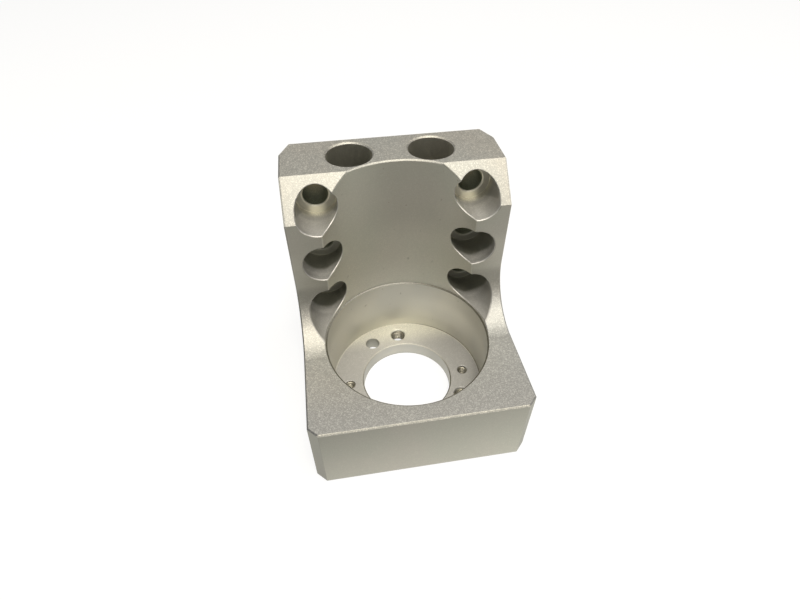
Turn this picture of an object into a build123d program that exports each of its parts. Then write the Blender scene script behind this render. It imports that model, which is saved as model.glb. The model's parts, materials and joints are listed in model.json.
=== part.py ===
from build123d import *
import os

# Machined aluminium bearing bracket: a square foot with a stepped bore, and a tall back wall
# hollowed to a half round on the bore's axis. Sizes are in millimetres. X runs across the
# bracket, Y from its front to its back and Z up. The origin is on the bore's axis, at the underside.

# Outline
width = 80.0
height = 90.0
foot_height = 31.5
wall_thickness = 35.0
slope_size = 12.0
foot_fillet = 20.0
front_corner = 3.5
back_corner_across = 3.5
back_corner_along = 7.5

# Broken edges: on the outside and the bores, and on the finer rims
edge_break = 0.5
fine_break = 0.3
break_angle = 90.0

# Stepped bore and centre hole on the vertical axis, and what is left round them
bore_radius = 31.0
centre_hole_radius = 18.25
floor_thickness = 6.0
front_thickness = 7.0
back_thickness = 18.5

# Holes on one circle in the floor of the bore
floor_circle_radius = 24.0
clamp_screw_count = 3
clamp_screw_angle = 90.0
clamp_thread_radius = 3.0
clamp_sink_radius = 3.4
jack_screw_count = 2
jack_screw_angle = 0.0
jack_thread_radius = 2.0
jack_sink_radius = 2.25
pin_count = 1
pin_angle = 120.0
pin_radius = 3.0

# Bores sunk in the top of the wall
top_bore_count = 2
top_bore_radius = 8.5
top_bore_depth = 60.0
top_bore_to_hollow = 1.3
top_bore_to_screw = 0.5

# Counterbored screw holes through the wall
column_inset = 11.5
row_count = 3
top_row_drop = 10.0
screw_hole_radius = 4.5
screw_head_radius = 7.5
screw_head_to_foot = 0.5
head_seat_thickness = 20.0

# Places that follow from the sizes above
half_width = width / 2
hollow_radius = bore_radius + edge_break
front_reach = bore_radius + front_thickness
back_reach = hollow_radius + back_thickness
wall_front = back_reach - wall_thickness
slope_top = wall_front + slope_size
fillet_start = wall_front - foot_fillet
head_seat = back_reach - head_seat_thickness
screw_side = half_width - column_inset
top_row = height - top_row_drop
low_row = foot_height + screw_head_to_foot + screw_head_radius
middle_row = (top_row + low_row) / 2
row_pitch = (top_row - low_row) / (row_count - 1)
top_bore_side = screw_side - screw_hole_radius - top_bore_to_screw - top_bore_radius
top_bore_reach = hollow_radius + top_bore_to_hollow + top_bore_radius
top_bore_place = (top_bore_reach**2 - top_bore_side**2) ** 0.5

with BuildPart() as bracket:
    # Right half, from the side view of foot and wall, with the large fillet between them
    with BuildSketch(Plane.YZ):
        with BuildLine():
            Polyline(
                (-front_reach, 0),
                (back_reach, 0),
                (back_reach, height),
                (slope_top, height),
                (wall_front, height - slope_size),
                (wall_front, foot_height),
                (-front_reach, foot_height),
                close=True,
            )
        make_face()
        inner_corner = vertices().sort_by_distance((0, wall_front, foot_height))[0]
        fillet(inner_corner, foot_fillet)
    extrude(amount=half_width)

    # Top view, with its cut corners
    with BuildSketch():
        with BuildLine():
            Polyline(
                (0, -front_reach),
                (half_width - front_corner, -front_reach),
                (half_width, front_corner - front_reach),
                (half_width, back_reach - back_corner_along),
                (half_width - back_corner_across, back_reach),
                (0, back_reach),
                close=True,
            )
        make_face()
    extrude(amount=height, mode=Mode.INTERSECT)

    # Outside edges broken, all but the obtuse ones of the corners, the slope and the fillet,
    # and those of the middle plane, where the halves join
    level_faces = bracket.faces().filter_by(Axis.Z)
    side_face = bracket.faces().sort_by(Axis.X)[-1]
    middle_face = bracket.faces().sort_by(Axis.X)[0]
    upright_edges = bracket.edges().filter_by(Axis.Z)
    wall_edges = upright_edges.filter_by_position(Axis.Y, fillet_start, slope_top)
    cross_edges = bracket.edges().filter_by(Axis.X)
    slope_edges = cross_edges.filter_by_position(Axis.Y, fillet_start, slope_top)
    outside_edges = level_faces.edges() + (side_face.edges() - upright_edges) + wall_edges
    chamfer(outside_edges - slope_edges - middle_face.edges(), edge_break)

    # Centre hole, bore and hollow, turned as one profile in front of the axis
    with BuildSketch(Plane.YZ):
        with BuildLine():
            Polyline(
                (0, 0),
                (-centre_hole_radius, 0),
                (-centre_hole_radius, floor_thickness - fine_break),
                (-centre_hole_radius - fine_break, floor_thickness),
                (-bore_radius, floor_thickness),
                (-bore_radius, foot_height - edge_break),
                (-hollow_radius, foot_height),
                (-hollow_radius, height),
                (0, height),
                close=True,
            )
        make_face()
    revolve(axis=Axis.Z, mode=Mode.SUBTRACT)

    # Screw holes through the wall, their heads let in from the front, with all rims broken
    with Locations(Plane.XZ.offset(front_reach)):
        with Locations((screw_side, middle_row)):
            with GridLocations(0, row_pitch, 1, row_count):
                CounterBoreHole(
                    screw_hole_radius, screw_head_radius, front_reach + head_seat
                )
    cut_edges = bracket.edges(Select.LAST)
    mouths = cut_edges.filter_by_position(Axis.Y, -front_reach, head_seat - edge_break)
    chamfer(mouths - cut_edges.filter_by(Axis.X) - cut_edges.filter_by(Axis.Y), fine_break)
    hollow_rim = bracket.edges().filter_by(GeomType.CIRCLE).sort_by(Axis.Z)[-1]
    chamfer(hollow_rim, edge_break)
    hole_rims = bracket.edges().filter_by(GeomType.CIRCLE).filter_by(Plane.XZ)
    chamfer(hole_rims.group_by(SortBy.RADIUS)[0], edge_break)

    # Left half, as the right one's mirror image
    mirror(about=Plane.YZ)

    # Floor holes: three tapped, two smaller tapped, and one for a pin
    with Locations((0, 0, floor_thickness)):
        with PolarLocations(floor_circle_radius, clamp_screw_count, clamp_screw_angle):
            CounterSinkHole(
                clamp_thread_radius, clamp_sink_radius, counter_sink_angle=break_angle
            )
        with PolarLocations(floor_circle_radius, jack_screw_count, jack_screw_angle):
            CounterSinkHole(
                jack_thread_radius, jack_sink_radius, counter_sink_angle=break_angle
            )
        with PolarLocations(floor_circle_radius, pin_count, pin_angle):
            Hole(pin_radius)

    # Bores in the top of the wall
    with Locations((0, top_bore_place, height)):
        with GridLocations(top_bore_side * 2, 0, top_bore_count, 1):
            CounterSinkHole(
                top_bore_radius, top_bore_radius + edge_break, top_bore_depth, break_angle
            )

bracket.part.label = "bracket"
os.makedirs("parts", exist_ok=True)
export_step(bracket.part, "parts/bracket.step")
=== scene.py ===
"""Dresses the machined aluminium bearing bracket and lights it as in its photograph."""

import functools
import json
import logging
import math
from dataclasses import dataclass
from enum import Enum
from typing import Optional, Union

import bpy
from mathutils import Matrix, Vector

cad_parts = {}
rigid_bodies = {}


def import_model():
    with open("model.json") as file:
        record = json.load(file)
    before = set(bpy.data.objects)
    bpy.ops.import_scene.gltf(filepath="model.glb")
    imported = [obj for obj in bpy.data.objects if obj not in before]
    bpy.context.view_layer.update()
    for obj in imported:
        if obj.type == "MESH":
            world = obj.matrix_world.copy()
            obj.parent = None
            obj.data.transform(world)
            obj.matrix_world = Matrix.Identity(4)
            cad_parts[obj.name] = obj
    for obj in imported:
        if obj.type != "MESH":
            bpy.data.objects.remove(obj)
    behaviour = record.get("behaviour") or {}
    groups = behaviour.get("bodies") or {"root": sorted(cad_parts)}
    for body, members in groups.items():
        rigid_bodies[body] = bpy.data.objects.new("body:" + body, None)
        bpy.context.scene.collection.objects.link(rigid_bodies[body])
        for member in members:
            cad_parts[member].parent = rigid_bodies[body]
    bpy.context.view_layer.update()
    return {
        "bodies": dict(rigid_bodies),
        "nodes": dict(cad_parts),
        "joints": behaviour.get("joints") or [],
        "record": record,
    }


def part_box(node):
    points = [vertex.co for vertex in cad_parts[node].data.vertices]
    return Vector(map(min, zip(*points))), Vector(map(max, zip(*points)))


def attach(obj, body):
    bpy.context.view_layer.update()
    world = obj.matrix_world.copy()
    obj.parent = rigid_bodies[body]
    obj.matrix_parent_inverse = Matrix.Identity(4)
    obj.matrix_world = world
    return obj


LOG = logging.getLogger("bracket")
MM = 0.001
# How far a mask's edge fades, in metres, and which share of a band fades at each of its ends
MASK_SOFTNESS = 0.0001
BAND_SOFTNESS = 0.1
NOISE_MEAN = 0.5

Colour = tuple[float, float, float]
Span = tuple[float, float]
Number = Union[float, "Signal"]

BLACK: Colour = (0.0, 0.0, 0.0)
WHITE: Colour = (1.0, 1.0, 1.0)


def shifted(span: Span, by: float) -> Span:
    """Moves both ends of a span."""
    return (span[0] + by, span[1] + by)


class Signal:
    """A number, colour or vector that varies over a surface, as a node's output gives it."""

    def __init__(self, graph: "ShaderGraph", socket: bpy.types.NodeSocket) -> None:
        """Keeps the output and the graph that it belongs to."""
        self.graph = graph
        self.socket = socket

    def __add__(self, other: Number) -> "Signal":
        """Adds a number or another signal."""
        return self.graph.maths("ADD", self, other)

    def __sub__(self, other: Number) -> "Signal":
        """Takes a number or another signal away."""
        return self.graph.maths("SUBTRACT", self, other)

    def __mul__(self, other: Number) -> "Signal":
        """Multiplies by a number or another signal."""
        return self.graph.maths("MULTIPLY", self, other)

    def __truediv__(self, other: Number) -> "Signal":
        """Divides by a number or another signal."""
        return self.graph.maths("DIVIDE", self, other)

    def __rsub__(self, other: float) -> "Signal":
        """Takes the signal away from a number."""
        return self.graph.maths("SUBTRACT", other, self)

    def __abs__(self) -> "Signal":
        """Drops the sign."""
        return self.graph.maths("ABSOLUTE", self, 0.0)

    __radd__ = __add__
    __rmul__ = __mul__

    @property
    def x(self) -> "Signal":
        """Gives the part along X, or a colour's red."""
        return self._axis("X")

    @property
    def y(self) -> "Signal":
        """Gives the part along Y, or a colour's green."""
        return self._axis("Y")

    @property
    def z(self) -> "Signal":
        """Gives the part along Z, or a colour's blue."""
        return self._axis("Z")

    def _axis(self, name: str) -> "Signal":
        """Takes one part of a vector or colour."""
        return self.graph.node("ShaderNodeSeparateXYZ", name, None, {0: self})

    def squared(self) -> "Signal":
        """Multiplies the signal by itself."""
        return self * self

    def most(self, other: Number) -> "Signal":
        """Gives the greater of two."""
        return self.graph.maths("MAXIMUM", self, other)

    def least(self, other: Number) -> "Signal":
        """Gives the smaller of two."""
        return self.graph.maths("MINIMUM", self, other)

    def ramp(self, low: float, high: float) -> "Signal":
        """Runs smoothly from 0 to 1 as the signal goes from low to high.

        Args:
            low: Where the result is 0.
            high: Where the result is 1.

        Returns:
            The ramped signal.
        """
        settings = {"interpolation_type": "SMOOTHSTEP"}
        inputs = {"Value": self, "From Min": low, "From Max": high}
        return self.graph.node("ShaderNodeMapRange", "Result", settings, inputs)

    def fall(self, low: float, high: float) -> "Signal":
        """Runs smoothly from 1 to 0 as the signal goes from low to high."""
        return 1.0 - self.ramp(low, high)

    def between(self, low: float, high: float) -> "Signal":
        """Gives a mask that is 1 from low to high."""
        soft = (high - low) * BAND_SOFTNESS
        return self.ramp(low - soft, low) * self.fall(high, high + soft)

    def spread(self, near: float, far: float) -> "Signal":
        """Runs from 0 to 1 as the signal, a squared distance, goes from near to far."""
        return self.ramp(near**2, far**2)

    def past(self, radius: float) -> "Signal":
        """Gives a mask that is 1 where the signal, a squared distance, is past a radius."""
        return self.spread(radius, radius + MASK_SOFTNESS)

    def within(self, radius: float) -> "Signal":
        """Gives a mask that is 1 where the signal, a squared distance, is within a radius."""
        return 1.0 - self.past(radius)

    def ring(self, inner: float, outer: float) -> "Signal":
        """Gives a mask that is 1 where the signal, a squared distance, is between two radii."""
        return self.past(inner) * self.within(outer)


class ShaderGraph:
    """The node tree of one material or of the world."""

    mix_share, mix_base, mix_over, mix_result = 0, 6, 7, 2
    noise_roughness = 0.55

    def __init__(self, owner: Union[bpy.types.Material, bpy.types.World]) -> None:
        """Empties the owner's tree, to fill it anew."""
        owner.use_nodes = True
        self.tree = owner.node_tree
        self.tree.nodes.clear()

    def node(
        self,
        kind: str,
        output: Union[str, int],
        settings: Optional[dict[str, object]] = None,
        inputs: Optional[dict[Union[str, int], object]] = None,
    ) -> Signal:
        """Adds a node.

        Args:
            kind: The node's type name.
            output: The name or number of the output that is wanted.
            settings: The node's properties, set before its sockets.
            inputs: Values or signals by the socket's name or number.

        Returns:
            The wanted output.
        """
        made = self.tree.nodes.new(kind)
        for name, value in (settings or {}).items():
            setattr(made, name, value)
        for name, value in (inputs or {}).items():
            self._feed(made.inputs[name], value)
        return Signal(self, made.outputs[output])

    def finish(self, kind: str, shader: Signal) -> None:
        """Ends the tree in an output node of that kind, which shows the shader."""
        made = self.tree.nodes.new(kind)
        self._feed(made.inputs["Surface"], shader)

    def surface(self, skin: dict[str, object]) -> None:
        """Ends a material's tree in a surface with those inputs."""
        made = self.node("ShaderNodeBsdfPrincipled", "BSDF", None, skin)
        self.finish("ShaderNodeOutputMaterial", made)

    def maths(self, operation: str, first: Number, second: Number) -> Signal:
        """Adds one step of arithmetic on two numbers or signals."""
        settings = {"operation": operation}
        return self.node("ShaderNodeMath", 0, settings, {0: first, 1: second})

    def blend(self, share: Number, base: object, over: object) -> Signal:
        """Mixes two colours; share is how much of the second one shows."""
        inputs = {self.mix_share: share, self.mix_base: base, self.mix_over: over}
        return self.node("ShaderNodeMix", self.mix_result, {"data_type": "RGBA"}, inputs)

    def toned(self, colour: Signal, tone: Signal) -> Signal:
        """Multiplies a colour by a tone, which is 1 where it changes nothing."""
        inputs = {0: colour, "Scale": tone}
        return self.node("ShaderNodeVectorMath", "Vector", {"operation": "SCALE"}, inputs)

    def noise(self, place: Signal, size: float, detail: float) -> Signal:
        """Adds a cloudy pattern.

        Args:
            place: The coordinates that it lives in.
            size: The size of its patches, in metres.
            detail: How many finer layers it has.

        Returns:
            The pattern, about 0.5 on average.
        """
        inputs = {
            "Vector": place,
            "Scale": 1.0 / size,
            "Detail": detail,
            "Roughness": self.noise_roughness,
        }
        return self.node("ShaderNodeTexNoise", "Fac", None, inputs)

    def _feed(self, socket: bpy.types.NodeSocket, value: object) -> None:
        """Gives a socket its value, or links a signal to it.

        Args:
            socket: The input.
            value: A number, a colour, a vector or a signal.
        """
        if isinstance(value, Signal):
            self.tree.links.new(value.socket, socket)
        elif isinstance(value, tuple) and socket.type == "RGBA":
            socket.default_value = (*value, 1.0)
        else:
            socket.default_value = value


@dataclass(frozen=True)
class ScrewRows:
    """Where the counterbored screw holes run through the wall.

    Sizes are in metres. A span says where a mask or a tone begins and where it is full: depths
    run to the back from the bore's axis, spreads and rises from a hole's own axis.
    """

    side: float
    heights: tuple[float, ...]
    hole_radius: float
    head_radius: float = 0.0075
    seat: float = 0.030
    head_margin: float = 0.00015
    hole_margin: float = 0.0002
    head_end: float = 0.001
    rim: float = 0.0005
    seat_skin: Span = (-0.0002, -0.0001)
    corner_width: float = 0.0002
    corner_depth: Span = (-0.00025, -0.0001)
    # From here on, spans and tones place painted shade, painted light and painted highlights in the
    # counterbores.
    shaded_from: float = 0.0205
    shade_length: float = 0.002
    deep_length: float = 0.004
    shade_shift: float = 0.0008
    flank_spread: Span = (0.002, 0.006)
    flank_foot: float = 0.0065
    flank_lead: float = 0.45
    inward_spread: Span = (0.0, 0.004)
    inward_lag: float = 0.0016
    lit_from: float = 0.0255
    lit_depth: Span = (0.0165, 0.0185)
    beside_spread: Span = (0.0015, 0.004)
    beside_depth: Span = (0.0268, 0.0282)
    lifted_spread: Span = (0.003, 0.005)
    lifted_depth: Span = (0.0175, 0.0195)
    lifted_rise: Span = (-0.0016, -0.0005)
    lifted_from: float = 0.018
    lifted_lean: float = 0.45
    open_fall: Span = (0.003, 0.006)
    open_depth: Span = (0.0235, 0.0255)
    halves: Span = (-0.01, 0.01)
    lit_gain: float = 0.26
    deep_gain: float = 0.14
    open_gain: float = 0.15
    flank_loss: float = 0.24
    right_loss: float = 0.03

    @classmethod
    def from_record(cls, record: dict) -> "ScrewRows":
        """Reads the rows from the record.

        Args:
            record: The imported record.

        Returns:
            The rows, the highest last.
        """
        corners, middle = [
            mount for mount in record["mounts"] if mount["kind"] == "bolt_pattern"
        ]
        centre = corners["pos_m"][2]
        rise = corners["dims"]["spacing_y_mm"] * MM / 2
        side = middle["dims"]["spacing_x_mm"] * MM / 2
        heights = (centre - rise, centre, centre + rise)
        return cls(side, heights, corners["dims"]["hole_r_mm"] * MM)

    def reach(self, place: Signal) -> Signal:
        """Measures how far a place is from the nearest hole's axis, squared."""
        rises = [(place.z - row).squared() for row in self.heights]
        return (abs(place.x) - self.side).squared() + functools.reduce(Signal.least, rises)

    def heads(self, place: Signal) -> Signal:
        """Marks what lies in the counterbores."""
        before = place.y.fall(self.seat, self.seat + self.head_end)
        return self.reach(place).within(self.head_radius + self.head_margin) * before

    def shanks(self, place: Signal) -> Signal:
        """Marks the walls of the narrow holes behind the seats."""
        behind = place.y.ramp(self.seat, self.seat + self.rim)
        return self.reach(place).within(self.hole_radius + self.hole_margin) * behind

    def upper(self, place: Signal) -> Signal:
        """Marks what lies nearer to the top row than to the others."""
        parting = (self.heights[-1] + self.heights[-2]) / 2
        return place.z.ramp(parting, parting + MASK_SOFTNESS)

    def shade(self, place: Signal) -> Signal:
        """Marks the painted shade in the depths of the lower rows.

        It begins nearer to the front at the far right, and deeper towards the hollow.

        Args:
            place: The coordinates on the bracket.

        Returns:
            A mask, 1 deep inside.
        """
        across = place.x
        height = place.z
        right = across.ramp(-self.hole_radius, self.hole_radius)
        inward = (self.side - abs(across)).ramp(*self.inward_spread)
        parting = (self.heights[0] + self.heights[1]) / 2
        pitch = self.heights[1] - self.heights[0]
        middle_row = height.ramp(parting, parting + MASK_SOFTNESS)
        rise = height - self.heights[0] - middle_row * pitch
        flank = right * (across - self.side).ramp(*self.flank_spread)
        flank = flank * (rise + self.flank_foot).most(0.0) * self.flank_lead
        along = right * self.shade_shift + place.y + flank - inward * self.inward_lag
        depth = along.ramp(self.shaded_from, self.shaded_from + self.shade_length)
        return depth * (1.0 - self.upper(place))

    def seat_wall_highlight(self, place: Signal) -> Signal:
        """Marks the painted highlight on the wall near the top row's seats."""
        return place.y.ramp(self.lit_from, self.seat - self.rim) * self.upper(place)

    def gain(self, place: Signal) -> Signal:
        """Says how much painted light brightens parts of the counterbores.

        The lower rows get it behind their mouths, and the top row in its depths and on its
        open lower walls, which face the light.

        Args:
            place: The coordinates on the bracket.

        Returns:
            The gain, 0 where it changes nothing.
        """
        upper = self.upper(place)
        low = 1.0 - upper
        lit = place.y.ramp(*self.lit_depth)
        deep = place.y.ramp(self.shaded_from, self.shaded_from + self.deep_length)
        gain = low * lit * self.lit_gain + upper * deep * self.deep_gain
        fall = (self.heights[-1] - place.z).ramp(*self.open_fall)
        return gain + fall * place.y.fall(*self.open_depth) * upper * self.open_gain

    def loss(self, place: Signal) -> Signal:
        """Says how much darker the top row's sides are, where little light comes in.

        Args:
            place: The coordinates on the bracket.

        Returns:
            The loss, 0 where it changes nothing.
        """
        aside = (abs(place.x) - self.side).squared()
        depth = place.y
        rise = place.z - self.heights[-1]
        beside = aside.spread(*self.beside_spread) * depth.ramp(*self.beside_depth)
        lifted = rise + (depth - self.lifted_from) * self.lifted_lean
        lifted = lifted.ramp(*self.lifted_rise) * aside.spread(*self.lifted_spread)
        flanks = beside.most(lifted * depth.ramp(*self.lifted_depth)) * self.upper(place)
        return flanks * (place.x.ramp(*self.halves) * self.right_loss + self.flank_loss)

    def rims(self, place: Signal) -> Signal:
        """Marks the thin rings round each seat and round the narrow hole in it, for a painted
        highlight.

        Args:
            place: The coordinates on the bracket.

        Returns:
            A mask, 1 on those rings.
        """
        reach = self.reach(place)
        corner = place.y.ramp(*shifted(self.corner_depth, self.seat))
        corner = corner * reach.past(self.head_radius - self.corner_width)
        mouth = reach.ring(self.hole_radius, self.hole_radius + self.rim)
        mouth = mouth * place.y.ramp(self.seat - MASK_SOFTNESS, self.seat)
        back = self.seat + self.rim
        near = reach.within(self.hole_radius + self.rim + MASK_SOFTNESS)
        near = near * place.y.fall(back, back + MASK_SOFTNESS)
        return corner.most(mouth) * self.heads(place).most(near)

    def seats(self, place: Signal) -> Signal:
        """Marks the seats and what lies behind them."""
        return place.y.ramp(*shifted(self.seat_skin, self.seat))


@dataclass(frozen=True)
class MainBore:
    """The stepped bore in the foot and the hollow above it.

    Sizes are in metres. A span says where a mask or a tone begins and where it is full, from the
    bracket's origin, or from a radius, the floor or the top where the method adds that.
    """

    radius: float
    top: float
    floor: float
    hole_radius: float
    edge: float = 0.0005
    floor_skin: Span = (-0.0004, 0.0)
    underside_rise: Span = (0.0002, 0.0006)
    margin: float = 0.001
    holes_depth: Span = (-0.0007, -0.0003)
    hollow_margin: float = 0.0007
    hollow_start: Span = (0.0005, 0.0007)
    # From here on, spans and tones place painted light and shade on the hollow and the bore's wall,
    # and painted shade and highlights along the bore's edges.
    hollow_left: Span = (-0.022, 0.002)
    hollow_right: Span = (0.012, 0.024)
    hollow_foot: float = 0.06
    hollow_high: Span = (0.023, 0.038)
    hollow_gain: float = 0.05
    hollow_foot_gain: float = 0.27
    hollow_left_gain: float = 0.10
    hollow_high_loss: float = 0.16
    hollow_right_share: float = 0.7
    low_rise: Span = (0.001, 0.012)
    low_across: Span = (-0.012, 0.002)
    low_along: Span = (0.016, 0.027)
    low_loss: float = 0.22
    side_drop: Span = (-0.012, -0.004)
    side_spread: Span = (0.022, 0.029)
    side_along: Span = (-0.004, 0.008)
    side_loss: float = 0.14
    left_across: Span = (-0.014, -0.004)
    left_drop: float = 0.014
    left_loss: float = 0.1
    right_across: Span = (0.002, 0.012)
    right_along: Span = (0.008, 0.018)
    right_foot: Span = (0.010, 0.014)
    right_head: Span = (0.02, 0.027)
    right_gain: float = 0.08
    dark_across: Span = (0.0, 0.024)
    back_along: Span = (-0.004, 0.012)
    mouth_share: float = 0.25
    corner_share: float = 0.2
    corner_depth: Span = (-0.0006, -0.0003)
    corner_rise: float = 0.0003
    corner_width: Span = (-0.0003, 0.0005)
    rim_rise: Span = (-0.0003, 0.0001)
    rim_width: float = 0.0004
    ring_width: Span = (-0.0006, -0.0002)
    bright_share: float = 0.4

    @classmethod
    def from_record(cls, record: dict) -> "MainBore":
        """Reads the bore from the record.

        Args:
            record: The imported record.

        Returns:
            The bore.
        """
        mounts = {mount["name"]: mount for mount in record["mounts"]}
        size = mounts["main_bore"]["dims"]
        top = mounts["main_bore"]["pos_m"][2] + size["length_mm"] * MM / 2
        floor = mounts["bore_floor"]["pos_m"][2]
        return cls(size["r_mm"] * MM, top, floor, mounts["centre_hole"]["dims"]["r_mm"] * MM)

    def reach(self, place: Signal) -> Signal:
        """Measures how far a place is from the bore's axis, squared."""
        return place.x.squared() + place.y.squared()

    def inside(self, place: Signal) -> Signal:
        """Marks the bore's wall, its floor and the centre hole."""
        low = place.z.ramp(*self.underside_rise) * place.z.fall(self.top, self.top + MASK_SOFTNESS)
        return self.reach(place).within(self.radius + MASK_SOFTNESS) * low

    def small_holes(self, place: Signal) -> Signal:
        """Marks the tapped holes and the pin hole, which lie below the floor."""
        ring = self.reach(place).ring(self.hole_radius + self.margin, self.radius - self.margin)
        return ring * place.z.fall(*shifted(self.holes_depth, self.floor))

    def hollow(self, place: Signal) -> Signal:
        """Marks the half-round hollow of the wall."""
        above = place.z.ramp(*shifted(self.hollow_start, self.top))
        return self.reach(place).within(self.radius + self.hollow_margin) * above

    def hollow_tone(self, place: Signal) -> Signal:
        """Paints light and shade on the hollow: painted light at its foot and its left, painted
        shade at its top.

        Args:
            place: The coordinates on the bracket.

        Returns:
            The tone, 1 away from the hollow.
        """
        left = place.x.fall(*self.hollow_left)
        right = place.x.ramp(*self.hollow_right)
        foot = place.z.fall(self.top, self.top + self.hollow_foot)
        high = place.z.ramp(*shifted(self.hollow_high, self.top))
        middle = (1.0 - left) * (1.0 - right * self.hollow_right_share)
        gain = foot * self.hollow_foot_gain + left * self.hollow_left_gain + self.hollow_gain
        gain = gain - high * middle * self.hollow_high_loss
        return self.hollow(place) * gain + 1.0

    def wall_tone(self, place: Signal) -> Signal:
        """Paints shade and light onto the bore's wall.

        Painted shade darkens its upper sides, its upper left and its lower left, and painted
        light brightens its lower right.

        Args:
            place: The coordinates on the bracket.

        Returns:
            The tone, 1 where it changes nothing.
        """
        height = place.z
        across = place.x
        along = place.y
        low = height.fall(*shifted(self.low_rise, self.floor))
        low = low * height.ramp(*shifted(self.floor_skin, self.floor))
        low = low * across.fall(*self.low_across) * along.ramp(*self.low_along)
        sides = across.squared().spread(*self.side_spread) * along.ramp(*self.side_along)
        high = height.ramp(*shifted(self.side_drop, self.top)) * sides
        left = across.fall(*self.left_across) * height.ramp(self.top - self.left_drop, self.top)
        right = across.ramp(*self.right_across) * along.ramp(*self.right_along)
        right = right * height.ramp(*self.right_foot) * height.fall(*self.right_head)
        tone = 1.0 - low * self.low_loss - high * self.side_loss
        return tone - left * (1.0 - sides) * self.left_loss + right * self.right_gain

    def edges(self, place: Signal) -> Signal:
        """Marks the painted shade along the bore's mouth, the corner round its floor and the centre
        hole's rim.

        The painted shade is dark at the right and in front, and hardly so at the back.

        Args:
            place: The coordinates on the bracket.

        Returns:
            A mask, 1 along those edges.
        """
        height = place.z
        right = place.x.ramp(*self.dark_across)
        front = place.y.fall(*self.back_along)
        reach = self.reach(place)
        mouth = height.between(self.top, self.top + self.edge)
        mouth = mouth * reach.within(self.radius + self.edge)
        mouth = mouth * (right.most(front) + self.mouth_share)
        corner = height.ramp(*shifted(self.corner_depth, self.floor))
        corner = corner * height.fall(self.floor, self.floor + self.corner_rise)
        corner = corner * reach.ring(*shifted(self.corner_width, self.radius))
        corner = corner * (right + self.corner_share)
        rim = height.between(*shifted(self.rim_rise, self.floor))
        rim = rim * reach.within(self.hole_radius + self.rim_width) * front
        return mouth.most(corner).most(rim).least(1.0)

    def bright_edges(self, place: Signal) -> Signal:
        """Marks the painted highlight along the back of the centre hole's rim and of the ring along
        the floor's outside.

        Args:
            place: The coordinates on the bracket.

        Returns:
            A mask of part strength along those edges.
        """
        reach = self.reach(place)
        ring = reach.ring(*shifted(self.ring_width, self.radius))
        edge = ring.most(reach.within(self.hole_radius + self.rim_width))
        edge = edge * place.z.between(*shifted(self.rim_rise, self.floor))
        return edge * place.y.ramp(*self.back_along) * self.bright_share


@dataclass(frozen=True)
class TopBores:
    """The two bores sunk in the wall's top. Sizes are in metres."""

    side: float
    back: float
    radius: float
    top: float
    depth: float
    bottom_rise: Span = (0.0, 0.001)
    rim_width: Span = (0.0004, 0.0009)
    rim_along: Span = (-0.003, 0.004)

    @classmethod
    def from_record(cls, record: dict) -> "TopBores":
        """Reads the bores from the record.

        Args:
            record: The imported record.

        Returns:
            The bores.
        """
        mounts = {mount["name"]: mount for mount in record["mounts"]}
        right = mounts["top_bore_right"]
        side, back, middle = right["pos_m"]
        depth = right["dims"]["length_mm"] * MM
        return cls(side, back, right["dims"]["r_mm"] * MM, middle + depth / 2, depth)

    def reach(self, place: Signal) -> Signal:
        """Measures how far a place is from the nearer bore's axis, squared."""
        return (abs(place.x) - self.side).squared() + (place.y - self.back).squared()

    def inside(self, place: Signal) -> Signal:
        """Marks the bores' walls."""
        deep = place.z.ramp(*shifted(self.bottom_rise, self.top - self.depth))
        return self.reach(place).within(self.radius + MASK_SOFTNESS) * deep

    def far_rims(self, place: Signal) -> Signal:
        """Marks the narrow ring behind each mouth, for a painted highlight."""
        ring = self.reach(place).ring(*shifted(self.rim_width, self.radius))
        return ring * (place.y - self.back).ramp(*self.rim_along)


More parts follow.
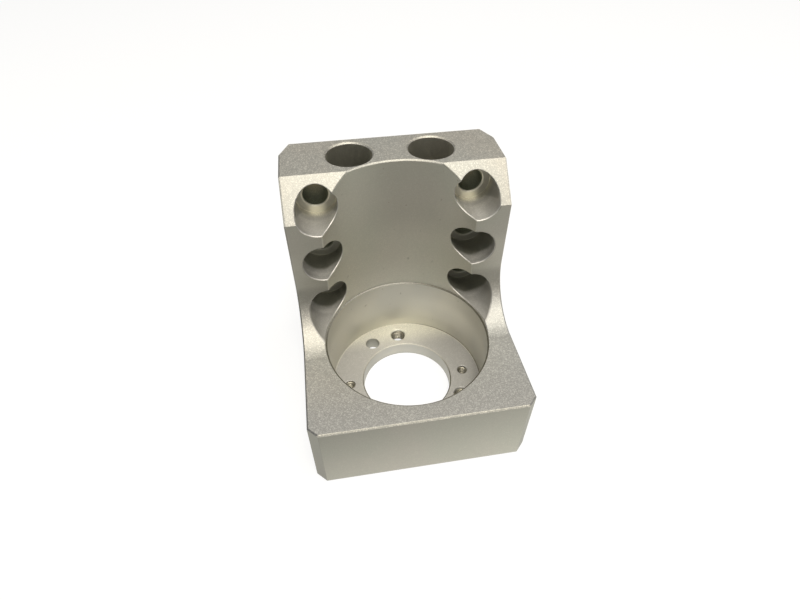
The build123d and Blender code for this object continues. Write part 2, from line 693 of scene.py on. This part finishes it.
@dataclass(frozen=True)
class Outside:
    """The painted light and shade on the outside's faces, by where they lie and how they face.

    Sizes are in metres. Spans run as in the bore; those named facing are of the normal.
    """

    bore: MainBore
    foot_front: float
    front_facing: Span = (-0.45, -0.35)
    left_facing: Span = (-0.6, -0.3)
    right_facing: Span = (0.3, 0.6)
    steep_facing: Span = (0.05, 0.2)
    steep_end_facing: Span = (0.42, 0.62)
    broken_facing: Span = (0.3, 0.45)
    broken_end_facing: Span = (0.8, 0.9)
    upright_end_facing: Span = (0.3, 0.5)
    crown_facing: Span = (0.9, 0.95)
    swept_facing: Span = (0.9, 0.97)
    swept_end_facing: Span = (0.9985, 0.9999)
    bore_margin: float = 0.0006
    high_rise: Span = (0.03, 0.035)
    halves: Span = (-0.01, 0.01)
    wall_along: Span = (0.0, 0.002)
    wall_height: Span = (0.060, 0.068)
    # From here on, losses are painted shade, gains painted light and highlights, and the edge spans
    # place a painted highlight.
    left_loss: float = 0.26
    left_broken_loss: float = 0.2
    right_loss: float = 0.06
    steep_loss: float = 0.16
    wall_left_loss: float = 0.12
    wall_high_loss: float = 0.08
    wall_high_right_loss: float = 0.06
    chamfer_highlight_gain: float = 1.1
    crown_gain: float = 0.09
    swept_gain: float = 0.1
    edge_depth: Span = (0.0005, 0.0007)
    edge_rise: Span = (0.0, 0.001)
    front_skin: float = 0.0002
    front_gain: float = 0.18
    front_rise_loss: float = 0.36
    front_right_gain: float = 0.10

    def turned(self, place: Signal) -> Signal:
        """Paints light and shade on the faces by the way that they face.

        Painted shade falls on faces that turn left, right or steeply and on the wall's front;
        painted highlights go on side chamfers that face forward high up, on the wall's crown and
        where the fillet turns up.

        Args:
            place: The coordinates on the bracket.

        Returns:
            The tone, 1 on the faces that it leaves as they are.
        """
        normal = place.graph.node("ShaderNodeNewGeometry", "Normal")
        upward = normal.z
        forward = normal.y.fall(*self.front_facing)
        outer = place.x.squared().past(self.bore.radius + self.bore_margin)
        high = place.z.ramp(*shifted(self.high_rise, self.bore.top))
        left = normal.x.fall(*self.left_facing) * outer
        right = normal.x.ramp(*self.right_facing) * outer
        steep = upward.ramp(*self.steep_facing) * upward.fall(*self.steep_end_facing)
        broken = upward.ramp(*self.broken_facing) * upward.fall(*self.broken_end_facing)
        # Painted highlight on side chamfers that face forward high up.
        chamfer_highlight = left.most(right) * broken * forward * high
        # Painted shade on faces that turn left, right or steeply, and on the wall's front.
        dimmed = left * (broken * self.left_broken_loss + self.left_loss)
        dimmed = dimmed + right * self.right_loss + steep * self.steep_loss
        upright = forward * upward.fall(*self.upright_end_facing)
        dimmed = dimmed + upright * self._wall_loss(place)
        # Painted highlights on the wall's crown and where the fillet turns up.
        crown = upward.ramp(*self.crown_facing) * high
        swept = upward.ramp(*self.swept_facing) * upward.fall(*self.swept_end_facing)
        tone = 1.0 - dimmed + chamfer_highlight * self.chamfer_highlight_gain
        return tone + crown * self.crown_gain + swept * self.swept_gain

    def _wall_loss(self, place: Signal) -> Signal:
        """Says how much painted shade darkens the wall's front at its left and high up.

        Args:
            place: The coordinates on the bracket.

        Returns:
            The loss, 0 in the hollow.
        """
        right = place.x.ramp(*self.halves)
        left_loss = (1.0 - right) * place.y.ramp(*self.wall_along) * self.wall_left_loss
        high_loss = right * self.wall_high_right_loss + self.wall_high_loss
        loss = left_loss + high_loss * place.z.ramp(*self.wall_height)
        return loss * (1.0 - self.bore.hollow(place))

    def front_edge(self, place: Signal) -> Signal:
        """Marks the broken edge along the foot's front, for a painted highlight."""
        level = place.z.between(*shifted(self.edge_rise, self.bore.top))
        return place.y.fall(*shifted(self.edge_depth, self.foot_front)) * level

    def front_shade(self, place: Signal) -> Signal:
        """Paints light and shade on the foot's front: paler towards its lower right, darker towards
        its upper left.

        Args:
            place: The coordinates on the bracket.

        Returns:
            The tone, 1 away from the front.
        """
        front = place.y.fall(self.foot_front, self.foot_front + self.front_skin)
        rise = place.z / self.bore.top
        leftward = place.x / self.foot_front
        gain = self.front_gain - rise * self.front_rise_loss - leftward * self.front_right_gain
        return front * gain + 1.0


@dataclass(frozen=True)
class BlastedAluminium:
    """Bead-blasted aluminium with a clear anodised skin. Sizes are in metres.

    Level faces took the blast fully; upright ones are smoother and a little darker, and the
    bores and counterbores were cut last and are brighter. Many of its tones are painted light,
    shade and highlights besides.
    """

    rows: ScrewRows
    bore: MainBore
    top_bores: TopBores
    outside: Outside
    name: str = "blasted_aluminium"
    warm: Colour = (0.472, 0.454, 0.412)
    cool: Colour = (0.456, 0.45, 0.415)
    foot_grey: Colour = (0.394, 0.39, 0.375)
    foot_right: Colour = (0.448, 0.451, 0.438)
    upright: Colour = (0.44, 0.424, 0.368)
    upright_green: Colour = (0.424, 0.42, 0.36)
    bored: Colour = (0.645, 0.625, 0.55)
    bored_grey: Colour = (0.585, 0.575, 0.52)
    hole_side: Colour = (0.50, 0.49, 0.44)
    small_hole: Colour = (0.45, 0.44, 0.38)
    floor_side: Colour = (0.508, 0.501, 0.489)
    # Painted highlight on the back of the bore's floor.
    floor_highlight: Colour = (0.757, 0.743, 0.665)
    counterbore: Colour = (0.545, 0.535, 0.51)
    seat: Colour = (0.62, 0.605, 0.52)
    # Painted highlight on thin rims, along the back of the bore's edges and on the walls near the
    # top row's seats.
    bright: Colour = (0.84, 0.81, 0.70)
    shaded: Colour = (0.38, 0.375, 0.32)
    shank: Colour = (0.40, 0.36, 0.235)
    shank_dark: Colour = (0.29, 0.31, 0.24)
    # Painted shade along the bore's edges, and the dark nicks on its cut faces.
    edge: Colour = (0.24, 0.23, 0.19)
    # Painted highlight on the foot's front edge and behind the top bores' mouths.
    worn: Colour = (0.54, 0.525, 0.47)
    roughness: float = 0.59
    upright_roughness: float = 0.56
    roughness_spread: float = 0.10
    level_facing: Span = (0.0, 0.4)
    cut_smoothing: float = 0.6
    grain_size: float = 0.00029
    grain_mean: float = 0.25
    grain_tone: float = 0.38
    upright_grain: float = 0.4
    dimple_size: float = 0.0003
    dimple_depth: float = 0.00003
    dimple_detail: float = 1.0
    patch_size: float = 0.028
    patch_detail: float = 2.0
    patch_contrast: Span = (0.35, 0.65)
    speck_size: float = 0.0016
    speck_contrast: Span = (0.82, 0.87)
    speck_share: float = 0.4
    rounding: float = 0.00028
    rounding_samples: int = 4
    foot_along: Span = (0.003, 0.028)
    foot_rise: Span = (0.004, 0.012)
    foot_across: Span = (0.005, 0.035)
    foot_right_share: float = 0.7
    floor_along: Span = (0.016, 0.027)
    hole_side_along: Span = (0.011, 0.019)
    # Painted light inside the top bores.
    top_bore_gain: float = 0.18
    shank_along: Span = (0.035, 0.044)
    rim_share: float = 0.5
    low_rim_loss: float = 0.3

    def material(self) -> bpy.types.Material:
        """Builds the material.

        Returns:
            The finished material.
        """
        made = bpy.data.materials.new(self.name)
        graph = ShaderGraph(made)
        place = graph.node("ShaderNodeTexCoord", "Object")
        facing = graph.node("ShaderNodeNewGeometry", "Normal").z
        level = facing.squared().ramp(*self.level_facing)
        cut = self.bore.inside(place).most(self.rows.heads(place))
        coarse = 1.0 - cut * self.cut_smoothing
        grain = self._grain(place)
        tone = grain * self.grain_tone * ((level + self.upright_grain) * coarse) + 1.0
        samples = {"samples": self.rounding_samples}
        bump = {
            "Height": graph.noise(place, self.dimple_size, self.dimple_detail) * coarse,
            "Strength": 1.0,
            "Distance": self.dimple_depth,
            "Normal": graph.node("ShaderNodeBevel", "Normal", samples, {"Radius": self.rounding}),
        }
        rough = level * (self.roughness - self.upright_roughness) + self.upright_roughness
        skin = {
            "Base Color": graph.toned(self._colour(place, level), tone),
            "Metallic": 1.0,
            "Roughness": grain * self.roughness_spread + rough,
            "Normal": graph.node("ShaderNodeBump", "Normal", None, bump),
        }
        graph.surface(skin)
        return made

    def _grain(self, place: Signal) -> Signal:
        """Adds the sparkle that the beads leave, one tone to each small facet and few bright.

        Args:
            place: The coordinates on the bracket.

        Returns:
            The sparkle, about 0 on average.
        """
        cells = {"Vector": place, "Scale": 1.0 / self.grain_size}
        sparkle = place.graph.node("ShaderNodeTexVoronoi", "Color", None, cells).x
        return sparkle * sparkle * sparkle - self.grain_mean

    def _colour(self, place: Signal, level: Signal) -> Signal:
        """Mixes the colours of the differently cut faces, with painted light, shade and highlights.

        Args:
            place: The coordinates on the bracket.
            level: How level the face is.

        Returns:
            The colour before the grain.
        """
        graph = place.graph
        inside = self.bore.inside(place)
        patches = graph.noise(place, self.patch_size, self.patch_detail)
        patches = patches.ramp(*self.patch_contrast)
        colour = self._outside_colour(place, level, patches)
        colour = graph.blend(inside, colour, self._bore_colour(place, patches))
        # Painted highlight: the bore's floor is paler towards its back.
        floor = graph.blend(place.y.ramp(*self.floor_along), self.floor_side, self.floor_highlight)
        colour = graph.blend(inside * level, colour, floor)
        # Painted shade along the bore's mouth, the corner round its floor and the centre hole's
        # rim.
        colour = graph.blend(self.bore.edges(place), colour, self.edge)
        # Painted highlight along the back of the centre hole's rim and of the floor's outer ring.
        colour = graph.blend(self.bore.bright_edges(place), colour, self.bright)
        colour = self._screw_colour(place, colour)
        specks = graph.noise(place, self.speck_size, 0.0).ramp(*self.speck_contrast)
        cut = inside.most(self.bore.hollow(place)) * (1.0 - level)
        return graph.blend(specks * cut * self.speck_share, colour, self.edge)

    def _outside_colour(self, place: Signal, level: Signal, patches: Signal) -> Signal:
        """Colours the blasted outside, the hollow and the bores in the top, with painted light and
        shade.

        Args:
            place: The coordinates on the bracket.
            level: How level the face is.
            patches: The cloudy pattern of the blast.

        Returns:
            The colour.
        """
        graph = place.graph
        outside = self.outside
        low = place.z.fall(*shifted(self.foot_rise, self.bore.top))
        right = place.x.ramp(*self.foot_across) * low * self.foot_right_share
        front = place.y.fall(*shifted(self.foot_along, outside.foot_front))
        flat = graph.blend(patches, self.warm, self.cool)
        flat = graph.blend(right, flat, self.foot_right)
        flat = graph.blend(front, flat, self.foot_grey)
        upright = graph.blend(patches, self.upright, self.upright_green)
        colour = graph.blend(level, upright, flat)
        # Painted light and shade on the foot's front and by the way the faces face.
        colour = graph.toned(colour, outside.front_shade(place) * outside.turned(place))
        # Painted highlight on the foot's front edge and behind the top bores' mouths.
        worn = outside.front_edge(place).most(self.top_bores.far_rims(place) * level)
        colour = graph.blend(worn, colour, self.worn)
        # Painted light and shade on the hollow.
        colour = graph.toned(colour, self.bore.hollow_tone(place))
        # Painted light inside the top bores.
        return graph.toned(colour, self.top_bores.inside(place) * self.top_bore_gain + 1.0)

    def _bore_colour(self, place: Signal, patches: Signal) -> Signal:
        """Colours the bore's wall, the centre hole and the small holes in the floor, with painted
        shade and light.

        Args:
            place: The coordinates on the bracket.
            patches: The cloudy pattern of the blast.

        Returns:
            The colour.
        """
        graph = place.graph
        below = place.z.fall(*shifted(self.bore.floor_skin, self.bore.floor))
        near = place.y.fall(*self.hole_side_along)
        colour = graph.blend(patches, self.bored, self.bored_grey)
        colour = graph.blend(below * near, colour, self.hole_side)
        colour = graph.blend(self.bore.small_holes(place), colour, self.small_hole)
        # Painted shade and light on the bore's wall.
        return graph.toned(colour, self.bore.wall_tone(place))

    def _screw_colour(self, place: Signal, colour: Signal) -> Signal:
        """Colours the counterbored screw holes, with painted light, shade and highlights.

        Args:
            place: The coordinates on the bracket.
            colour: The colour round them.

        Returns:
            The colour with theirs mixed in.
        """
        graph = place.graph
        rows = self.rows
        heads = rows.heads(place)
        low = 1.0 - rows.upper(place)
        colour = graph.blend(heads, colour, self.counterbore)
        # Painted light in parts of the counterbores.
        colour = graph.toned(colour, heads * rows.gain(place) + 1.0)
        # Painted highlight on the walls near the top row's seats.
        colour = graph.blend(heads * rows.seat_wall_highlight(place), colour, self.bright)
        # Painted shade in the lower rows' depths; their seats below take it too.
        colour = graph.blend(heads * rows.shade(place), colour, self.shaded)
        seat = graph.blend(low, self.seat, self.shaded)
        colour = graph.blend(heads * rows.seats(place), colour, seat)
        colour = graph.toned(colour, 1.0 - heads * rows.loss(place))
        shank = graph.blend(place.y.ramp(*self.shank_along), self.shank_dark, self.shank)
        colour = graph.blend(rows.shanks(place), colour, shank)
        # Painted highlight on the thin rims round the seats and holes.
        rims = rows.rims(place) * (self.rim_share - low * self.low_rim_loss)
        return graph.blend(rims, colour, self.bright)


@dataclass(frozen=True)
class CutThread:
    """Aluminium as a tap leaves it, darker and smoother than the blasted skin."""

    name: str = "tapped_thread"
    crest: Colour = (0.34, 0.325, 0.27)
    root: Colour = (0.22, 0.205, 0.165)
    roughness: float = 0.48
    roughness_spread: float = 0.2
    streak_size: float = 0.0006
    streak_detail: float = 2.0
    streak_contrast: Span = (0.3, 0.7)

    def material(self) -> bpy.types.Material:
        """Builds the material.

        Returns:
            The finished material.
        """
        made = bpy.data.materials.new(self.name)
        graph = ShaderGraph(made)
        place = graph.node("ShaderNodeTexCoord", "Object")
        streaks = graph.noise(place, self.streak_size, self.streak_detail)
        skin = {
            "Base Color": graph.blend(streaks.ramp(*self.streak_contrast), self.crest, self.root),
            "Metallic": 1.0,
            "Roughness": (streaks - NOISE_MEAN) * self.roughness_spread + self.roughness,
        }
        graph.surface(skin)
        return made


@dataclass
class BracketBody:
    """The solid block itself, as the model brings it."""

    frame: dict
    node: str = "bracket"

    def dress(self) -> bpy.types.Object:
        """Gives the block its blasted skin.

        Returns:
            The block.
        """
        block = self.frame["nodes"][self.node]
        record = self.frame["record"]
        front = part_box(self.node)[0][1]
        rows = ScrewRows.from_record(record)
        bore = MainBore.from_record(record)
        top_bores = TopBores.from_record(record)
        skin = BlastedAluminium(rows, bore, top_bores, Outside(bore, front)).material()
        for slot in block.material_slots:
            slot.material = skin
        return block


class MetricThread(Enum):
    """Coarse metric threads: outside radius, core radius and pitch, in millimetres."""

    M4 = (2.0, 1.621, 0.7)
    M6 = (3.0, 2.459, 1.0)

    def __init__(self, outside: float, core: float, pitch: float) -> None:
        """Keeps the three in metres."""
        self.outside = outside * MM
        self.core = core * MM
        self.pitch = pitch * MM


@dataclass
class TappedHoles:
    """The cut threads in the floor's tapped holes, one helical ridge in each."""

    frame: dict
    finish: CutThread = CutThread()
    sections_in_turn: int = 40
    let_in: float = 0.00003
    end_margin: float = 0.0002
    run_out: float = 0.25
    root_share: float = 0.84
    crest_share: float = 0.16
    least_root: float = 0.15
    most_crest: float = 0.5
    corners: int = 4

    def build(self) -> list[bpy.types.Object]:
        """Builds the ridge of every tapped hole that the record states.

        Returns:
            The ridges.
        """
        skin = self.finish.material()
        mounts = self.frame["record"]["mounts"]
        return [self._ridge(mount, skin) for mount in mounts if mount["kind"] == "threaded_hole"]

    def _ridge(self, mount: dict, skin: bpy.types.Material) -> bpy.types.Object:
        """Builds one ridge.

        Args:
            mount: The record's mount of the hole.
            skin: The ridge's material.

        Returns:
            The ridge, in place and riding on the body.
        """
        size = self._size(mount["dims"]["r_mm"] * MM)
        low = self.end_margin
        high = mount["dims"]["length_mm"] * MM - self.end_margin
        centre = Vector((mount["pos_m"][0], mount["pos_m"][1], 0.0))
        turns = (high - low) / size.pitch - self.root_share
        count = round(turns * self.sections_in_turn)
        points = []
        for step in range(count + 1):
            points.extend(self._section(size, step, count, low, centre))
        faces = [(0, 1, 2, 3)]
        for step in range(count):
            base = step * self.corners
            ahead = base + self.corners
            for corner in range(self.corners):
                after = (corner + 1) % self.corners
                faces.append((base + corner, ahead + corner, ahead + after, base + after))
        last = count * self.corners
        faces.append((last + 3, last + 2, last + 1, last))
        mesh = bpy.data.meshes.new(f"thread_{mount['name']}")
        mesh.from_pydata(points, [], faces)
        mesh.validate()
        mesh.materials.append(skin)
        ridge = bpy.data.objects.new(mesh.name, mesh)
        bpy.context.scene.collection.objects.link(ridge)
        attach(ridge, "root")
        return ridge

    def _section(
        self, size: MetricThread, step: int, count: int, low: float, centre: Vector
    ) -> list[Vector]:
        """Places the four corners of one section through the ridge.

        Args:
            size: The thread.
            step: The section's number.
            count: The last section's number.
            low: The height of the ridge's lower end.
            centre: The hole's axis at the underside.

        Returns:
            The corners, from the wall's lower side round the crest to its upper side.
        """
        turn = step / self.sections_in_turn
        from_end = min(step, count - step) / self.sections_in_turn
        fullness = min(1.0, from_end / self.run_out)
        crest = size.outside - (size.outside - size.core) * fullness
        middle = low + (turn + self.root_share / 2) * size.pitch
        angle = turn * math.tau
        outward = Vector((math.cos(angle), math.sin(angle), 0.0))
        root_half = size.pitch * self.root_share / 2 * max(fullness, self.least_root)
        crest_half = min(size.pitch * self.crest_share / 2, root_half * self.most_crest)
        wall = size.outside + self.let_in
        corners = ((wall, -root_half), (crest, -crest_half), (crest, crest_half), (wall, root_half))
        return [centre + outward * out + Vector((0.0, 0.0, middle + up)) for out, up in corners]

    def _size(self, radius: float) -> MetricThread:
        """Finds the thread whose outside has that radius, in metres."""
        return min(MetricThread, key=lambda size: abs(size.outside - radius))


@dataclass(frozen=True)
class SoftLamp:
    """One square of soft light that faces the bracket.

    Azimuth is 0 straight in front of the bracket and 90 at its right; elevation is 90 overhead.
    """

    name: str
    azimuth: float
    elevation: float
    size: float
    brightness: float
    distance: float = 1.2
    colour: Colour = (1.0, 0.95, 0.84)

    def build(self, target: Vector) -> bpy.types.Object:
        """Hangs the lamp.

        Args:
            target: The point that it faces.

        Returns:
            The lamp.
        """
        around = math.radians(self.azimuth)
        up = math.radians(self.elevation)
        level = Vector((math.sin(around), -math.cos(around), 0.0))
        away = level * math.cos(up) + Vector((0.0, 0.0, math.sin(up)))
        data = bpy.data.lights.new(self.name, "AREA")
        data.shape = "SQUARE"
        data.size = self.size
        data.color = self.colour
        data.energy = self.brightness * math.pi * self.size**2
        lamp = bpy.data.objects.new(self.name, data)
        lamp.location = target + away * self.distance
        lamp.rotation_euler = away.to_track_quat("Z", "Y").to_euler()
        bpy.context.scene.collection.objects.link(lamp)
        return lamp


@dataclass
class Studio:
    """A white floor, soft lamps and an even world round the bracket."""

    target: Vector
    floor_half: float = 4.0
    floor_drop: float = 0.00005
    floor_colour: Colour = (0.22, 0.22, 0.22)
    floor_glow: float = 0.78
    glow_start: float = -0.30
    glow_full: float = -0.12
    world_colour: Colour = WHITE
    world_brightness: float = 0.4
    lamps: tuple[SoftLamp, ...] = (
        SoftLamp("key_lamp", azimuth=0.0, elevation=70.5, size=0.32, brightness=27.0),
        SoftLamp("overhead_lamp", azimuth=0.0, elevation=90.0, size=0.6, brightness=2.3),
        SoftLamp("front_right_lamp", azimuth=45.0, elevation=50.0, size=0.5, brightness=2.8),
        SoftLamp("right_lamp", azimuth=90.0, elevation=70.0, size=0.5, brightness=2.7),
        SoftLamp("left_lamp", azimuth=-90.0, elevation=70.0, size=0.5, brightness=0.5),
    )

    def build(self) -> None:
        """Lays the floor, hangs the lamps and fills the world."""
        LOG.info("laid %s", self._floor().name)
        for lamp in self.lamps:
            LOG.info("hung %s", lamp.build(self.target).name)
        self._world()

    def _floor(self) -> bpy.types.Object:
        """Lays the floor under the bracket.

        Returns:
            The floor.
        """
        half = self.floor_half
        corners = [(-half, -half, 0.0), (half, -half, 0.0), (half, half, 0.0), (-half, half, 0.0)]
        mesh = bpy.data.meshes.new("floor")
        mesh.from_pydata(corners, [], [(0, 1, 2, 3)])
        mesh.materials.append(self._floor_finish())
        floor = bpy.data.objects.new("floor", mesh)
        floor.location.z = -self.floor_drop
        bpy.context.scene.collection.objects.link(floor)
        return floor

    def _floor_finish(self) -> bpy.types.Material:
        """Builds the floor's white, which glows for the camera and for metal.

        In metal it fades out in front of the bracket, where the room is darker.

        Returns:
            The finished material.
        """
        made = bpy.data.materials.new("white_floor")
        graph = ShaderGraph(made)
        rays = [
            graph.node("ShaderNodeLightPath", ray)
            for ray in ("Is Camera Ray", "Is Glossy Ray", "Is Transmission Ray")
        ]
        place = graph.node("ShaderNodeTexCoord", "Object")
        near = place.y.ramp(self.glow_start, self.glow_full)
        seen = rays[0].most(rays[1].most(rays[2]) * near)
        skin = {
            "Base Color": self.floor_colour,
            "Roughness": 1.0,
            "Specular IOR Level": 0.0,
            "Emission Color": graph.blend(seen, BLACK, WHITE),
            "Emission Strength": self.floor_glow,
        }
        graph.surface(skin)
        return made

    def _world(self) -> None:
        """Fills the world with one pale tone."""
        world = bpy.data.worlds.new("studio")
        bpy.context.scene.world = world
        graph = ShaderGraph(world)
        air = {"Color": self.world_colour, "Strength": self.world_brightness}
        graph.finish("ShaderNodeOutputWorld", graph.node("ShaderNodeBackground", 0, None, air))


@dataclass
class PhotoCamera:
    """The camera at the photograph's place. Places are in metres and angles in degrees."""

    place: Vector
    target: Vector
    roll: float
    lens: float
    nearest: float = 0.005
    furthest: float = 50.0

    def build(self) -> bpy.types.Object:
        """Sets the camera up.

        Returns:
            The camera.
        """
        data = bpy.data.cameras.new("photo_camera")
        data.lens = self.lens
        data.clip_start = self.nearest
        data.clip_end = self.furthest
        data.dof.use_dof = False
        camera = bpy.data.objects.new("photo_camera", data)
        turn = (self.target - self.place).to_track_quat("-Z", "Y").to_matrix().to_4x4()
        turn = turn @ Matrix.Rotation(math.radians(self.roll), 4, "Z")
        camera.matrix_world = Matrix.Translation(self.place) @ turn
        bpy.context.scene.collection.objects.link(camera)
        bpy.context.scene.camera = camera
        return camera


def main() -> None:
    """Builds the dressed bracket, its studio and the camera."""
    logging.basicConfig(level=logging.INFO, format="%(message)s")
    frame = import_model()
    LOG.info("dressed %s", BracketBody(frame).dress().name)
    for ridge in TappedHoles(frame).build():
        LOG.info("built %s", ridge.name)
    Studio(target=Vector((0.0, 0.005, 0.04))).build()
    camera = PhotoCamera(
        place=Vector((-0.023696, -0.129401, 0.181293)),
        target=Vector((-0.002834, 0.0, 0.052147)),
        roll=-0.21,
        lens=23.03,
    )
    LOG.info("placed %s", camera.build().name)
    bpy.context.scene.view_settings.view_transform = "Standard"


if __name__ == "__main__":
    main()
